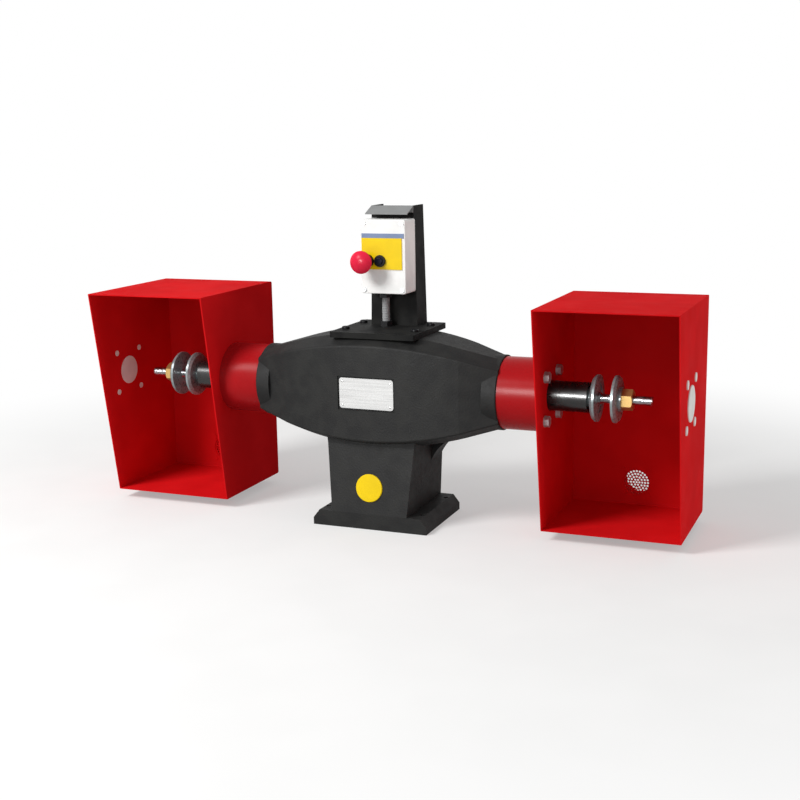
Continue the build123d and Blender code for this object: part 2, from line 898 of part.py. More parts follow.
def plate_screws():
    screws = []
    for x, y in plate_screw_places():
        screw = along_z(plate_screw_radius, plate_bottom - plate_screw_depth, plate_top, x, y)
        head_top = plate_top + plate_screw_head_height
        head = along_z(plate_screw_head_radius, plate_top, head_top, x, y)
        head = fillet(head.edges().group_by(Axis.Z)[-1], plate_screw_head_height / 2)
        flats = RegularPolygon(plate_screw_socket_flats / 2, 6, major_radius=False)
        socket = extrude(flats, amount=plate_screw_socket_depth)
        head -= Pos(x, y, head_top - plate_screw_socket_depth) * socket
        screws.append(screw + head)
    return group(screws)


def bracket_screw_places():
    return [(control_x + side * bracket_screw_x, bracket_screw_y) for side in (-1, 1)]


def bracket_prism(y0, y1, inset):
    """An upright of the bracket's outline, wider at the foot, with its sides drawn in by the inset."""
    foot = bracket_foot_half_width - inset
    head = bracket_half_width - inset
    corners = [(-foot, plate_top), (foot, plate_top), (head, bracket_top), (-head, bracket_top)]
    outline = Plane.XZ * Polygon(*corners, align=None)
    return Pos(control_x, y1, 0) * extrude(outline, amount=y1 - y0)


def bracket():
    bottom = plate_top
    back = bracket_face + bracket_depth
    solid = bracket_prism(bracket_face, back, 0) - bracket_prism(bracket_back, back, bracket_sheet)
    foot_reach = bracket_foot_half_width - bracket_sheet / 2
    foot_end = bracket_back + bracket_foot_depth
    x0 = control_x - foot_reach
    x1 = control_x + foot_reach
    solid += block(x0, x1, bracket_back, foot_end, bottom, bottom + bracket_sheet)
    for x, y in bracket_screw_places():
        solid -= along_z(bracket_screw_radius, bottom, bottom + bracket_sheet, x, y)
    for x, z in box_screw_places():
        solid -= along_y(bracket_screw_radius, bracket_face, bracket_back, x, z)
    return solid


def bracket_visor():
    """A bent strip on the front of the bracket: a tab and a roof that slopes down to the front."""
    top = bracket_top
    front = bracket_face - visor_reach
    tab_face = bracket_face - visor_sheet
    corners = [
        (bracket_face, top - visor_tab),
        (bracket_face, top),
        (front, top - visor_drop),
        (front, top - visor_drop - visor_sheet),
        (tab_face, top - visor_sheet - visor_drop * visor_sheet / visor_reach),
        (tab_face, top - visor_tab),
    ]
    side = Polygon(*corners, align=None)
    start = Pos(control_x - bracket_half_width, 0, 0)
    return start * extrude(Plane.YZ * side, amount=2 * bracket_half_width, dir=(1, 0, 0))


def box_screw_places():
    """Screws that hold the box to the bracket."""
    middle = box_bottom + box_height / 2
    return [(control_x, middle + side * box_screw_spacing / 2) for side in (-1, 1)]


def bracket_screws():
    screws = []
    foot_top = plate_top + bracket_sheet
    for x, y in bracket_screw_places():
        screw = along_z(bracket_screw_radius, plate_bottom, foot_top, x, y)
        screw += along_z(bracket_screw_head_radius, foot_top, foot_top + bracket_screw_head_height, x, y)
        screws.append(screw)
    for x, z in box_screw_places():
        inside = bracket_face - box_wall
        screw = along_y(bracket_screw_radius, inside, bracket_back, x, z)
        head_end = bracket_back + bracket_screw_head_height
        screw += along_y(bracket_screw_head_radius, bracket_back, head_end, x, z)
        screws.append(screw)
    return group(screws)


def box_outline():
    outline = RectangleRounded(2 * box_half_width, box_height, box_corner_radius)
    return Pos(control_x, 0, box_bottom + box_height / 2) * (Plane.XZ * outline)


def corner_places():
    x_reach = box_half_width - lid_screw_inset_x
    z_reach = box_height / 2 - lid_screw_inset_z
    middle = box_bottom + box_height / 2
    return [(control_x + sx * x_reach, middle + sz * z_reach) for sx in (-1, 1) for sz in (-1, 1)]


def box_cavity(y0, y1):
    """The hollow between the walls of the box, with its corner posts left standing."""
    x_reach = box_half_width - box_wall
    low = box_bottom + box_wall
    hollow = block(control_x - x_reach, control_x + x_reach, y0, y1, low, box_top - box_wall)
    for x, z in corner_places():
        hollow -= along_y(corner_post_radius, y0, y1, x, z)
    return hollow


def box_body():
    solid = Pos(0, bracket_face, 0) * extrude(box_outline(), amount=bracket_face - lid_back)
    solid -= box_cavity(lid_back, bracket_face - box_wall)
    for x, z in corner_places():
        solid -= along_y(lid_screw_radius, lid_back, box_front + lid_screw_length, x, z)
    for x, z in box_screw_places():
        solid -= along_y(bracket_screw_radius, bracket_face - box_wall, bracket_face, x, z)
    return solid - along_z(conduit_bore_radius, box_bottom, box_bottom + box_wall, conduit_x, conduit_y)


def box_lid():
    solid = Pos(0, lid_back, 0) * extrude(box_outline(), amount=lid_depth)
    rim = solid.faces().sort_by(Axis.Y)[0].edges()
    solid = fillet(rim, lid_edge_radius)
    solid -= box_cavity(box_front + box_wall, lid_back)
    for x in (estop_x, start_x):
        solid -= along_y(button_hole_radius, box_front, lid_back, x, button_height)
    for x, z in corner_places():
        solid -= along_y(lid_screw_radius, box_front, lid_back, x, z)
    return solid


def lid_screws():
    screws = []
    for x, z in corner_places():
        screw = along_y(lid_screw_radius, box_front, box_front + lid_screw_length, x, z)
        head_face = box_front - lid_screw_head_height
        screw += along_y(lid_screw_head_radius, head_face, box_front, x, z)
        slot_end = head_face + lid_screw_slot_depth
        long = lid_screw_slot_length / 2
        short = lid_screw_slot_width / 2
        screw -= block(x - long, x + long, head_face, slot_end, z - short, z + short)
        screw -= block(x - short, x + short, head_face, slot_end, z - long, z + long)
        screws.append(screw)
    return group(screws)


def front_plate(x_middle, half_width, bottom, height, thickness):
    """A thin plate stuck on the front of the lid."""
    x0 = x_middle - half_width
    x1 = x_middle + half_width
    return block(x0, x1, box_front - thickness, box_front, bottom, bottom + height)


def yellow_plate():
    solid = front_plate(yellow_x, yellow_half_width, yellow_bottom, yellow_height, yellow_thickness)
    for x in (estop_x, start_x):
        solid -= along_y(button_hole_radius, yellow_front, box_front, x, button_height)
    return solid


def grey_strip():
    bottom = yellow_bottom + yellow_height
    return front_plate(control_x, strip_half_width, bottom, strip_height, strip_thickness)


def button_bezel(x, radius, length, bore):
    """The fixed ring of a push button, its threaded sleeve and the locknut behind the lid."""
    front = yellow_front - length
    inside = box_front + box_wall
    ring = along_y(radius, front, yellow_front, x, button_height)
    ring = fillet(ring.edges().group_by(Axis.Y)[0], button_edge_radius)
    solid = ring + along_y(button_hole_radius, yellow_front, inside, x, button_height)
    solid += along_y(locknut_radius, inside, inside + locknut_thickness, x, button_height)
    return solid - along_y(bore, front, inside + locknut_thickness, x, button_height)


def estop_bezel():
    bore = estop_stem_radius + estop_stem_clearance
    return button_bezel(estop_x, estop_bezel_radius, estop_bezel_length, bore)


def start_bezel():
    bore = start_cap_radius + button_side_clearance
    return button_bezel(start_x, start_bezel_radius, start_bezel_length, bore)


def estop_plunger():
    back = box_front + box_wall + locknut_thickness - estop_travel - button_end_gap
    front = yellow_front - estop_head_back - estop_head_length / 2
    return along_y(estop_stem_radius, front, back, estop_x, button_height)


def estop_head():
    back = yellow_front - estop_head_back
    front = back - estop_head_length
    widest = back - estop_head_flare
    rim_front = widest - estop_head_rim
    rise = rim_front - front
    dome_radius = (estop_head_radius**2 + rise**2) / (2 * rise)
    half_angle = math.asin(estop_head_radius / dome_radius) / 2
    middle = (dome_radius * math.sin(half_angle), front + dome_radius * (1 - math.cos(half_angle)))
    edges = [
        Polyline((0, front), (0, back), (estop_neck_radius, back), (estop_head_radius, widest)),
        Line((estop_head_radius, widest), (estop_head_radius, rim_front)),
        ThreePointArc((estop_head_radius, rim_front), middle, (0, front)),
    ]
    solid = revolve(make_face(Curve() + edges), Axis.Y)
    solid -= along_y(estop_stem_radius + running_clearance, back - estop_head_length / 2, back, 0, 0)
    return Pos(estop_x, 0, button_height) * solid


def start_button():
    front = yellow_front - start_bezel_length - start_cap_rise
    back = box_front + box_wall + locknut_thickness - start_travel - button_end_gap
    cap = along_y(start_cap_radius, front, back, start_x, button_height)
    return fillet(cap.edges().group_by(Axis.Y)[0], button_edge_radius)


def contact_blocks():
    start = box_front + box_wall + locknut_thickness
    blocks = []
    for x in (estop_x, start_x):
        half_height = contact_block_height / 2
        blocks.append(
            block(
                x - contact_block_half_width,
                x + contact_block_half_width,
                start,
                start + contact_block_depth,
                button_height - half_height,
                button_height + half_height,
            )
        )
    return group(blocks)


def conduit_gland(bottom):
    """A hexagonal gland with a round bush."""
    outline = RegularPolygon(gland_flats / 2, 6, major_radius=False)
    solid = Pos(conduit_x, conduit_y, bottom) * extrude(outline, amount=gland_height)
    return solid - along_z(conduit_radius, bottom, bottom + gland_height, conduit_x, conduit_y)


def conduit_glands():
    return group([conduit_gland(box_bottom - gland_height), conduit_gland(plate_top)])


def control_conduit():
    """A ribbed tube, its ribs between the two glands."""
    start = plate_top + gland_height
    end = box_bottom - gland_height
    pitch = (end - start) / conduit_rib_count
    steps = [(plate_top, conduit_radius), (start, conduit_radius)]
    for number in range(conduit_rib_count):
        z = start + number * pitch
        for along, depth in conduit_rib_corners:
            steps.append((z + along * pitch, conduit_radius - depth * conduit_rib_depth))
    steps.append((box_bottom, conduit_radius))
    circles = [Pos(0, 0, z) * Circle(radius) for z, radius in steps]
    solid = Pos(conduit_x, conduit_y, 0) * loft(circles, ruled=True)
    return solid - along_z(conduit_bore_radius, plate_top, box_bottom, conduit_x, conduit_y)


def main():
    outside = barrel_outside()
    save("motor_housing", motor_housing(outside))
    save("pedestal", pedestal(outside))
    save("pedestal_cap", pedestal_cap())
    save("run_capacitor", run_capacitor())
    save("capacitor_clamps", capacitor_clamps())
    save("badge_plate", badge_plate())
    save_sides("end_bell", end_bell())
    save_sides("collar", collar())
    save_sides("nose_tube", nose_tube())

    inboard = bearing(
        inboard_start, inboard_width, inboard_bore_radius, inboard_outer_radius, inboard_ball_radius
    )
    outboard = bearing(
        outboard_start, outboard_width, outboard_bore_radius, outboard_outer_radius, outboard_ball_radius
    )
    inner_rings = [inboard[0], outboard[0]]
    outer_rings = [inboard[1], outboard[1]]
    balls = inboard[2] + outboard[2]
    save("bearing_inner_rings", group(inner_rings + [mirrored(ring) for ring in inner_rings]))
    save("bearing_outer_rings", group(outer_rings + [mirrored(ring) for ring in outer_rings]))
    save("bearing_balls", group(balls + [mirrored(ball) for ball in balls]))

    save("spindle_shaft", spindle_shaft())
    save("spindle_ends", spindle_ends())
    save("rotor_core", rotor_core())
    save("stator_core", stator_core())
    save("stator_windings", pair(winding_end()))
    save("cooling_fan", cooling_fan())
    save_sides("inner_flange", inner_flange())
    save_sides("outer_flange", outer_flange())
    save_sides("wheel_nut", wheel_nut())

    save_sides("hood_wrap", hood_wrap())
    save_sides("hood_inner_cheek", hood_inner_cheek())
    save_sides("hood_outer_cheek", hood_outer_cheek())
    save_sides("spindle_hole_plug", spindle_hole_plug())
    save_sides("suction_grille", suction_grille())
    save_sides("suction_spigot", suction_spigot())
    save("hood_bolts", hood_bolts())
    save("bolt_hole_plugs", bolt_hole_plugs())
    save("suction_rivets", suction_rivets())

    save("top_plate", top_plate())
    save("plate_screws", plate_screws())
    save("bracket", bracket())
    save("bracket_visor", bracket_visor())
    save("bracket_screws", bracket_screws())
    save("control_box_body", box_body())
    save("control_box_lid", box_lid())
    save("lid_screws", lid_screws())
    save("yellow_plate", yellow_plate())
    save("grey_strip", grey_strip())
    save("estop_bezel", estop_bezel())
    save("estop_plunger", estop_plunger())
    save("estop_head", estop_head())
    save("start_bezel", start_bezel())
    save("start_button", start_button())
    save("contact_blocks", contact_blocks())
    save("conduit_glands", conduit_glands())
    save("control_conduit", control_conduit())


main()
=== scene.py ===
import math

import bpy
from bpy.props import FloatProperty, FloatVectorProperty, IntProperty, PointerProperty
from bpy.types import Operator, Panel, PropertyGroup
from mathutils import Matrix, Vector


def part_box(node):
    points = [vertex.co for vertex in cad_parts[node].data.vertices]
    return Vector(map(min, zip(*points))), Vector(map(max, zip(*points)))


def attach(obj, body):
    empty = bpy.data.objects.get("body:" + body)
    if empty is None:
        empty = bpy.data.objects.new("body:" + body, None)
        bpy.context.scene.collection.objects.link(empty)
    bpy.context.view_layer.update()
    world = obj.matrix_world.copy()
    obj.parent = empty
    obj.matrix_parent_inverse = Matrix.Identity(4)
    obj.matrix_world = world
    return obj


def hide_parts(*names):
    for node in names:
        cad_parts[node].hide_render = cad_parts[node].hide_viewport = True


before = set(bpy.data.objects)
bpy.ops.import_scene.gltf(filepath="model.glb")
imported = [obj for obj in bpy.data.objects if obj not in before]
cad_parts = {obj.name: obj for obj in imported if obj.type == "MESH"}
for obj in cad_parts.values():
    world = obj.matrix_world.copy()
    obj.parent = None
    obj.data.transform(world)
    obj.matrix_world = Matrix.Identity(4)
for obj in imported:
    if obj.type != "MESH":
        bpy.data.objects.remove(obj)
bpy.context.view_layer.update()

bl_info = {
    "name": "Polishing machine",
    "version": (1, 0, 0),
    "blender": (4, 5, 0),
    "location": "View3D > Sidebar > Polisher",
    "description": "Finishes, small pieces and stage of a two-ended bench polishing machine",
    "category": "Object",
}

mm = 0.001
weld_distance = 0.01 * mm
thread_weld_distance = 0.005 * mm
cut_tolerance = 0.001 * mm
crease_angle = math.radians(35)
# Noise gathers round one half, so it is read between these values
noise_low, noise_high = 0.3, 0.7
patch_low, patch_high = 0.35, 0.65

shaft_low, shaft_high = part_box("spindle_ends")
axis_height = (shaft_low.z + shaft_high.z) / 2
shaft_tip = shaft_high.x


def linear(hex_code):
    """An sRGB hex colour as linear red, green and blue."""
    shares = [int(hex_code[start : start + 2], 16) / 255 for start in (1, 3, 5)]
    return tuple(c / 12.92 if c <= 0.04045 else ((c + 0.055) / 1.055) ** 2.4 for c in shares)


def tint(name, description, hex_code):
    """A colour that a user can change."""
    return FloatVectorProperty(
        name=name, description=description, subtype="COLOR", size=3, min=0, max=1, default=linear(hex_code)
    )


def size(name, description, length):
    """A length that a user can change."""
    return FloatProperty(name=name, description=description, unit="LENGTH", default=length)


def spot(name, description, where):
    """A place that a user can change."""
    return FloatVectorProperty(
        name=name, description=description, subtype="TRANSLATION", unit="LENGTH", default=where
    )


def turn(name, description, degrees):
    """An angle that a user can change."""
    return FloatProperty(name=name, description=description, subtype="ANGLE", default=math.radians(degrees))


def amount(name, description, value):
    """A plain number that a user can change."""
    return FloatProperty(name=name, description=description, default=value)


class MachineColours(PropertyGroup):
    hood_red: tint("Hood red", "Coat of the hoods", "#DC1A1E")
    hood_deep_red: tint("Deep hood red", "Where the coat lies thicker", "#D2161A")
    # The two collar reds are the hood's red darkened as painted shade, the shade that falls on the collars
    # between the hoods and the motor; the deeper one marks where the enamel lies thicker
    collar_red_with_painted_shade: tint("Collar red with painted shade", "Enamel of the collars, darkened as painted shade", "#A9161B")
    collar_deep_red_with_painted_shade: tint("Deep collar red with painted shade", "Where the enamel lies thicker", "#A01318")
    casting_black: tint("Casting black", "Satin paint of the motor and the pedestal", "#1E1E1E")
    casting_worn: tint("Casting grey", "Thin places of the casting paint", "#262625")
    sheet_black: tint("Sheet black", "Paint of the plate and the bracket", "#1C1C1C")
    # The visor's light grey is a painted sheen: it stands in for the light reflected off the top of the small
    # roof over the box
    visor_grey_painted_sheen: tint("Visor grey, painted sheen", "Light grey painted on the small roof over the box as its sheen", "#8F9090")
    tube_black: tint("Tube black", "Enamel of the nose tubes", "#101010")
    burnished_steel: tint("Burnished steel", "Grey steel of the wheel flanges", "#8C9799")
    ground_steel: tint("Ground steel", "Shaft and bearing rings", "#B9BABC")
    zinc_steel: tint("Zinc plating", "Bolts, screws and rivets", "#C3C5C6")
    brass: tint("Brass", "Wheel nuts", "#CDAA6A")
    box_white: tint("Box white", "Moulded control box", "#F7F7F5")
    plate_yellow: tint("Plate yellow", "Plate behind the buttons and the pedestal cap", "#F6D206")
    stop_red: tint("Stop red", "Mushroom head", "#DE2442")
    button_navy: tint("Button navy", "Start button", "#141828")
    plastic_black: tint("Plastic black", "Bezels, glands and contact blocks", "#1B1B1D")
    conduit_grey: tint("Conduit grey", "Ribbed conduit", "#A4A5A6")
    strip_grey: tint("Strip grey", "Blue-grey strip above the yellow plate", "#7F8FB0")
    badge_silver: tint("Badge silver", "Bare plate on the motor front", "#CACAC9")
    plug_white: tint("Plug white", "Push-in plugs of the hood holes", "#E9E7E3")
    lamination: tint("Lamination grey", "Stator and rotor sheets", "#6E7072")
    copper: tint("Copper", "Varnished winding wire", "#9A5526")
    cast_silver: tint("Cast silver", "Cooling fan and capacitor can", "#B4B6B8")


class MachineSizes(PropertyGroup):
    spigot_depth: size("Spigot depth", "Length of an arbor end inside the shaft", 30 * mm)
    spigot_radius: size("Spigot radius", "Radius of an arbor end inside the shaft", 7 * mm)
    seat_radius: size("Seat radius", "Radius of the flange seat", 10 * mm)
    seat_chamfer: size("Seat chamfer", "Bevel at the end of the flange seat", 0.6 * mm)
    thread_start: size("Thread start", "Distance of the threaded part from the middle", 396 * mm)
    thread_pitch: size("Thread pitch", "Pitch of the arbor ends", 2 * mm)
    thread_crest: size("Thread crest", "Outer radius of the thread", 7.95 * mm)
    thread_root: size("Thread root", "Root radius of the thread", 6.9 * mm)
    thread_bevel: size("Thread bevel", "Bevel at the tips of the arbor ends", 1.5 * mm)
    tip_share: amount("Tip share", "Width of the tips as a share of the thread's", 0.8)
    rivet_radius: size("Rivet radius", "Domed rivets of the badge plate", 2.2 * mm)
    rivet_inset: size("Rivet inset", "Distance of the rivets from the badge edges", 6 * mm)
    seal_setback: size("Seal setback", "Distance of the seals from the ends of the nose tubes", 3 * mm)
    seal_bore: size("Seal bore", "Inner radius of the seals", 13.2 * mm)
    seal_rim: size("Seal rim", "Outer radius of the seals", 20.4 * mm)
    seal_lip: size("Seal lip", "Width of the slope at the bore", 1.3 * mm)
    seal_bead: size("Seal bead", "Width of the slope at the rim", 1.8 * mm)
    seal_back: size("Seal back", "Depth of the seals' inner face", 1.4 * mm)
    seal_edge: size("Seal edge", "Depth of the seals' edges", 0.6 * mm)
    seal_face: size("Seal face", "Depth of the seals' outer face", 0.3 * mm)
    turning_steps: IntProperty(
        name="Turning steps", description="Facets round a turned piece", default=64, min=24
    )
    thread_steps: IntProperty(name="Thread steps", description="Facets round a thread", default=40, min=16)
    rivet_steps: IntProperty(name="Rivet steps", description="Facets round a rivet", default=24, min=12)


class StageSettings(PropertyGroup):
    camera_place: spot("Camera place", "Where the camera stands", (0.902, -2.130, 0.694))
    azimuth: turn("Azimuth", "Turn of the camera", 22.31)
    elevation: turn("Elevation", "Height of the camera", 11.63)
    roll: turn("Roll", "Tilt of the camera", -0.98)
    lens: amount("Lens", "Focal length in mm", 58.77)
    sensor: amount("Sensor", "Width of the camera's sensor in mm", 36.0)
    floor_size: size("Floor size", "Side of the floor", 30.0)
    floor_cuts: IntProperty(name="Floor cuts", description="Cuts across the floor each way", default=3, min=1)
    floor_drop: size("Floor drop", "Distance of the floor below the foot", 0.5 * mm)
    floor_colour: tint("Floor", "Pale studio floor", "#C8C8C7")
    floor_glow: amount("Floor glow", "White of the floor near the machine", 0.36)
    fade_start: size("Fade start", "Distance at which the floor starts to fade to white", 0.7)
    fade_end: size("Fade end", "Distance at which the floor is white", 1.6)
    sky_strength: amount("Room light", "Even light from all round", 0.42)
    key_place: spot("Key place", "Where the key light hangs", (-1.4, -2.1, 2.2))
    key_size: size("Key size", "Width and height of the key light", 1.0)
    key_power: amount("Key light", "Soft light from high on the front left, in watts", 87.0)
    side_place: spot("Side place", "Where the side light stands", (3.1, -0.2, 0.3))
    side_size: size("Side size", "Width and height of the side light", 0.6)
    side_power: amount("Side light", "Soft light from the right, in watts", 17.0)
    card_place: spot("Card place", "Where the reflector card stands", (-0.25, -2.33, 0.9))
    card_width: size("Card width", "Width of the reflector card", 0.8)
    card_height: size("Card height", "Height of the reflector card", 0.5)
    card_power: amount("Card light", "Light of the reflector card, in watts", 100.0)
    aim: spot("Aim", "What the lights point at", (0, 0, 0.25))


def node(tree, kind, inputs=None, **settings):
    """Adds a node, sets its options, and sets or links its inputs."""
    added = tree.nodes.new(kind)
    for option, value in settings.items():
        setattr(added, option, value)
    for socket, value in (inputs or {}).items():
        if isinstance(value, bpy.types.NodeSocket):
            tree.links.new(value, added.inputs[socket])
        else:
            added.inputs[socket].default_value = value
    return added


def opaque(colour):
    return (colour[0], colour[1], colour[2], 1.0)


def shaded(colour, share):
    """A colour at a share of its strength."""
    return [share * channel for channel in colour]


def blank_material(name):
    """A new material with its tree, its shader and the place of each point in metres."""
    material = bpy.data.materials.new(name)
    material.use_nodes = True
    tree = material.node_tree
    place = node(tree, "ShaderNodeTexCoord").outputs["Object"]
    return material, tree, tree.nodes["Principled BSDF"], place


def grain(tree, place, spacing, detail=2.0):
    """A noise of the given spacing, between 0 and 1."""
    settings = {"Vector": place, "Scale": 1 / spacing, "Detail": detail}
    return node(tree, "ShaderNodeTexNoise", settings).outputs[0]


def mottled(tree, place, spacing, first, second, detail=2.0):
    """A slow mix of two colours in patches of the given spacing."""
    patches = grain(tree, place, spacing, detail)
    ends = {"Value": patches, "From Min": patch_low, "From Max": patch_high}
    share = node(tree, "ShaderNodeMapRange", ends, interpolation_type="SMOOTHSTEP").outputs[0]
    # The colours of a mix node are its sockets 6 and 7
    colours = {0: share, 6: opaque(first), 7: opaque(second)}
    return node(tree, "ShaderNodeMix", colours, data_type="RGBA").outputs[2]


def uneven(tree, place, spacing, limits):
    """A number that wanders between two limits in patches of the given spacing."""
    patches = grain(tree, place, spacing, detail=3.0)
    low, high = limits
    ends = {"Value": patches, "From Min": noise_low, "From Max": noise_high, "To Min": low, "To Max": high}
    return node(tree, "ShaderNodeMapRange", ends).outputs[0]


def relief(tree, height, depth):
    """A bump of the given depth from a height between 0 and 1."""
    return node(tree, "ShaderNodeBump", {"Height": height, "Strength": 1.0, "Distance": depth}).outputs[0]


def wire(tree, shader, **sockets):
    """Links or sets the shader's sockets, an underscore standing for a space."""
    for name, value in sockets.items():
        socket = shader.inputs[name.replace("_", " ")]
        if isinstance(value, bpy.types.NodeSocket):
            tree.links.new(value, socket)
        else:
            socket.default_value = value


def stoved_red_coat(name, thin, thick, roughness, refraction):
    # Stoved paint on steel: a full red, whose highlights break up a little in the orange peel
    material, tree, shader, place = blank_material(name)
    # Orange peel is 1 to 2 mm; drawn at 5 mm so that it shows
    peel = grain(tree, place, 5 * mm, detail=1.0)
    wire(
        tree,
        shader,
        Base_Color=mottled(tree, place, 110 * mm, thin, thick),
        Roughness=uneven(tree, place, 40 * mm, roughness),
        Normal=relief(tree, peel, 0.05 * mm),
        IOR=refraction,
    )
    return material


def satin_casting_paint(name, colours):
    # Satin paint over a sand casting: near-black, pebbled by the sand, with thin greyer places
    material, tree, shader, place = blank_material(name)
    # Sand grit is 0.5 mm; drawn at 3 mm so that it shows
    pebbles = grain(tree, place, 3 * mm, detail=3.0)
    wire(
        tree,
        shader,
        Base_Color=mottled(tree, place, 24 * mm, colours.casting_black, colours.casting_worn, detail=4.0),
        Roughness=uneven(tree, place, 12 * mm, (0.56, 0.68)),
        Normal=relief(tree, pebbles, 0.4 * mm),
        IOR=1.22,
    )
    return material


def satin_sheet_paint(name, first, second):
    # Satin paint on bent sheet: an even colour, smoother than the castings
    material, tree, shader, place = blank_material(name)
    # Orange peel is 1 to 2 mm; drawn at 4 mm so that it shows
    peel = grain(tree, place, 4 * mm, detail=1.0)
    wire(
        tree,
        shader,
        Base_Color=mottled(tree, place, 30 * mm, first, second),
        Roughness=uneven(tree, place, 20 * mm, (0.52, 0.62)),
        Normal=relief(tree, peel, 0.06 * mm),
        IOR=1.1,
    )
    return material


def gloss_tube_enamel(colours):
    # Enamel on turned tube: deep black with a long pale highlight
    material, tree, shader, place = blank_material("gloss black enamel on tube")
    # Orange peel is 1 to 2 mm; drawn at 6 mm so that it shows
    peel = grain(tree, place, 6 * mm, detail=1.0)
    wire(
        tree,
        shader,
        Base_Color=mottled(tree, place, 25 * mm, colours.tube_black, colours.sheet_black),
        Roughness=uneven(tree, place, 15 * mm, (0.24, 0.3)),
        Normal=relief(tree, peel, 0.04 * mm),
        IOR=1.5,
    )
    return material


def ripple(tree, distance, spacing):
    """A sine of a distance, between -1 and 1, with the given spacing."""
    turns = {0: distance, 1: 2 * math.pi / spacing}
    angle = node(tree, "ShaderNodeMath", turns, operation="MULTIPLY").outputs[0]
    return node(tree, "ShaderNodeMath", {0: angle}, operation="SINE").outputs[0]


def turned_rings(tree, place, spacing):
    """Fine rings about the spindle line, as a lathe tool leaves them, between 0 and 1."""
    lowered = {0: place, 1: (0, 0, -axis_height)}
    centred = node(tree, "ShaderNodeVectorMath", lowered, operation="ADD").outputs[0]
    flattened = {0: centred, 1: (0, 1, 1)}
    across = node(tree, "ShaderNodeVectorMath", flattened, operation="MULTIPLY").outputs[0]
    radius = node(tree, "ShaderNodeVectorMath", {0: across}, operation="LENGTH").outputs["Value"]
    along = node(tree, "ShaderNodeSeparateXYZ", {"Vector": place}).outputs["X"]
    both = node(tree, "ShaderNodeMath", {0: radius, 1: along}, operation="ADD").outputs[0]
    wave = ripple(tree, both, spacing)
    return node(tree, "ShaderNodeMapRange", {"Value": wave, "From Min": -1.0, "From Max": 1.0}).outputs[0]


def turned_metal(name, colour, roughness, metallic=1.0):
    # Turned metal: bright, with tool rings that draw the light out into a fan
    material, tree, shader, place = blank_material(name)
    # Tool rings are 0.1 mm apart; drawn at 0.9 mm so that they show
    rings = turned_rings(tree, place, 0.9 * mm)
    darker = shaded(colour, 0.8)
    wire(
        tree,
        shader,
        Base_Color=mottled(tree, place, 14 * mm, colour, darker, detail=4.0),
        Metallic=metallic,
        Roughness=uneven(tree, place, 5 * mm, roughness),
        Normal=relief(tree, rings, 0.02 * mm),
    )
    return material


def plated_metal(name, colour, metallic=1.0):
    # Plated, drawn or cast metal: an even colour with a faint frosted spangle
    material, tree, shader, place = blank_material(name)
    # Spangle is under 1 mm; drawn at 2.5 mm so that it shows
    spangle = node(tree, "ShaderNodeTexVoronoi", {"Vector": place, "Scale": 1 / (2.5 * mm)}).outputs[0]
    darker = shaded(colour, 0.82)
    wire(
        tree,
        shader,
        Base_Color=mottled(tree, place, 3 * mm, colour, darker, detail=3.0),
        Metallic=metallic,
        Roughness=uneven(tree, place, 3 * mm, (0.26, 0.42)),
        Normal=relief(tree, spangle, 0.03 * mm),
    )
    return material


def brushed_plate(colours):
    # Brushed aluminium: fine straight lines along the plate and a soft sideways sheen
    material, tree, shader, place = blank_material("brushed aluminium plate")
    # Brush lines are 0.1 mm apart; drawn at 0.8 mm so that they show
    stretched = node(tree, "ShaderNodeMapping", {"Vector": place, "Scale": (0.02, 1, 1)}).outputs[0]
    lines = grain(tree, stretched, 0.8 * mm)
    darker = shaded(colours.badge_silver, 0.85)
    wire(
        tree,
        shader,
        Base_Color=mottled(tree, stretched, 1.6 * mm, colours.badge_silver, darker),
        Metallic=0.15,
        Roughness=uneven(tree, stretched, 2 * mm, (0.46, 0.6)),
        Normal=relief(tree, lines, 0.03 * mm),
    )
    return material


def moulded_plastic(name, colour, roughness, spark):
    # Moulded plastic: an even colour with the fine spark-eroded texture of the mould
    material, tree, shader, place = blank_material(name)
    # Mould texture is 0.2 mm; drawn at the given spacing so that it shows
    pits = grain(tree, place, spark)
    deeper = shaded(colour, 0.93)
    wire(
        tree,
        shader,
        Base_Color=mottled(tree, place, 30 * mm, colour, deeper),
        Roughness=uneven(tree, place, 10 * mm, roughness),
        Normal=relief(tree, pits, 0.05 * mm),
        IOR=1.18,
    )
    return material


def stacked_laminations(colours):
    # Punched sheets pressed into a stack: dull grey steel ruled by the sheet edges
    material, tree, shader, place = blank_material("stacked steel laminations")
    along = node(tree, "ShaderNodeSeparateXYZ", {"Vector": place}).outputs["X"]
    # Sheets are 0.5 mm thick; drawn at 2 mm so that they show
    edges = ripple(tree, along, 2 * mm)
    darker = shaded(colours.lamination, 0.7)
    wire(
        tree,
        shader,
        Base_Color=mottled(tree, place, 12 * mm, colours.lamination, darker),
        Metallic=0.8,
        Roughness=uneven(tree, place, 8 * mm, (0.5, 0.65)),
        Normal=relief(tree, edges, 0.1 * mm),
    )
    return material


def varnished_winding(colours):
    # Varnished copper wire: warm brown-orange, ridged by the strands, with a wet varnish shine
    material, tree, shader, place = blank_material("varnished copper winding")
    # Strands are 0.6 mm; drawn at 1.6 mm so that they show
    strands = turned_rings(tree, place, 1.6 * mm)
    darker = shaded(colours.copper, 0.6)
    wire(
        tree,
        shader,
        Base_Color=mottled(tree, place, 6 * mm, colours.copper, darker),
        Metallic=0.5,
        Roughness=uneven(tree, place, 6 * mm, (0.3, 0.45)),
        Normal=relief(tree, strands, 0.25 * mm),
    )
    return material


def dress(material, *names):
    """Gives CAD nodes a material, naming a piece of both sides once."""
    for name in names:
        for full in (name, f"left_{name}", f"right_{name}"):
            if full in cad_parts:
                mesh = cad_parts[full].data
                mesh.materials.clear()
                mesh.materials.append(material)


def fresh(adder, **settings):
    """Deselects everything, adds a primitive and goes into edit mode on it."""
    bpy.ops.object.select_all(action="DESELECT")
    adder(**settings)
    bpy.ops.object.mode_set(mode="EDIT")
    return bpy.context.object


